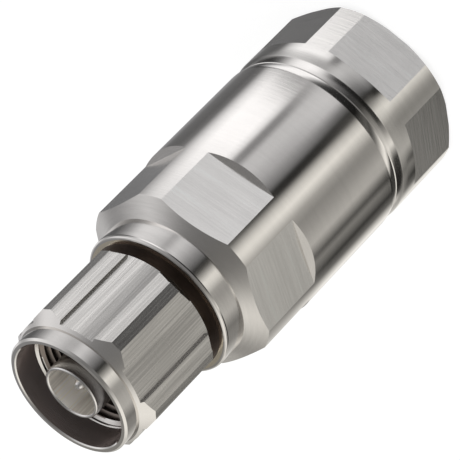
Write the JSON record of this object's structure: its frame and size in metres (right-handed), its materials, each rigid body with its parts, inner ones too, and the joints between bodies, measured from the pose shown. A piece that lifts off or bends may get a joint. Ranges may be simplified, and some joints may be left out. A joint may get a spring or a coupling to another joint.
{
  "type": "n type connector",
  "caption": "Straight male coaxial plug with a lobed coupling nut, a coned body with wrench flats and a screwed clamping nut for a corrugated cable.",
  "frame": {"origin": "centre of the back nut's rear face, on the plug's axis", "axes": "+Z along the plug's axis towards the mating face; the plug stands on the back nut's rear face"},
  "size_m": [0.027, 0.027, 0.0645],
  "materials": {
    "plated": "satin, nickel plated brass",
    "silver": "polished, silver plated",
    "gilt": "polished, gold plated",
    "bare_brass": "turned, bare",
    "bead": "smooth white",
    "seal": "moulded silicone",
    "spring_steel": "bright"
  },
  "bodies": {
    "back_nut": {"back_nut": "plated", "body_seal": "seal"},
    "clamp_pack": {"clamp_collet": "bare_brass", "collet_spring": "spring_steel", "thrust_washer": "spring_steel", "front_gasket_ring": "bare_brass", "jacket_gasket": "seal", "rear_gasket_ring": "bare_brass"},
    "front_shell": {"front_body": "plated", "contact_sleeve": "silver", "interface_gasket": "seal", "centre_contact": "silver", "front_bead": "bead", "rear_bead": "bead", "bead_ring": "bare_brass", "conductor_socket": "gilt", "socket_spring": "spring_steel", "flare_seat": "bare_brass"},
    "nut_carrier": {"retaining_ring": "spring_steel"},
    "coupling": {"coupling_nut": "plated"}
  },
  "joints": [
    {"name": "back_nut_turn", "type": "hinge", "parent": "back_nut", "child": "clamp_pack", "pos_m": [0, 0, 0.01325], "axis": [0, 0, 1], "range_deg": [0, 1800]},
    {"name": "clamp_travel", "type": "slide", "parent": "clamp_pack", "child": "front_shell", "axis": [0, 0, 1], "range_m": [0, 0.005]},
    {"name": "coupling_float", "type": "slide", "parent": "front_shell", "child": "nut_carrier", "axis": [0, 0, -1], "range_m": [0, 0.0012]},
    {"name": "coupling_spin", "type": "hinge", "parent": "nut_carrier", "child": "coupling", "pos_m": [0, 0, 0.0555], "axis": [0, 0, 1], "continuous": true}
  ],
  "couplings": [
    {"joint": "clamp_travel", "follows": "back_nut_turn", "m_per_rad": 0.00015915}
  ]
}
